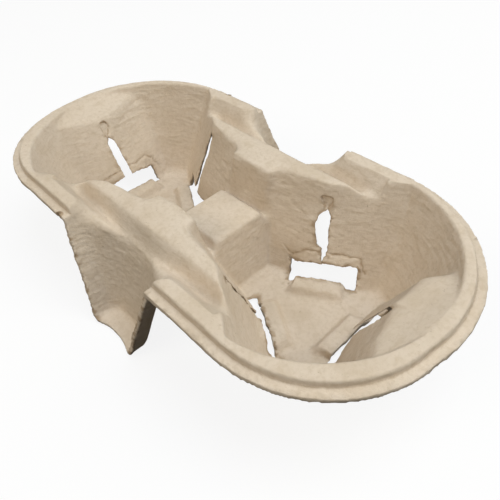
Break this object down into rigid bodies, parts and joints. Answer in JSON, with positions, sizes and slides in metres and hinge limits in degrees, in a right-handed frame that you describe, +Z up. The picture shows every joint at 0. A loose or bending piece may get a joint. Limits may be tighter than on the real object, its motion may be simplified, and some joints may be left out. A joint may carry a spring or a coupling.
{
  "type": "cup carrier",
  "caption": "Moulded paper pulp cup carrier: tapered cup wells with slotted flaps, joined by a ridged saddle, on splayed side feet.",
  "frame": {"origin": "middle of the underside, on the plane that the well floors and the feet rest on", "axes": "+X along the carrier from one cup well to the other, +Y across it towards one foot, +Z up out of the wells"},
  "size_m": [0.2134, 0.1218, 0.0456],
  "materials": {
    "pulp": "matt, fibrous moulded pulp"
  },
  "bodies": {
    "root": {"cup_carrier": "pulp"}
  },
  "joints": []
}
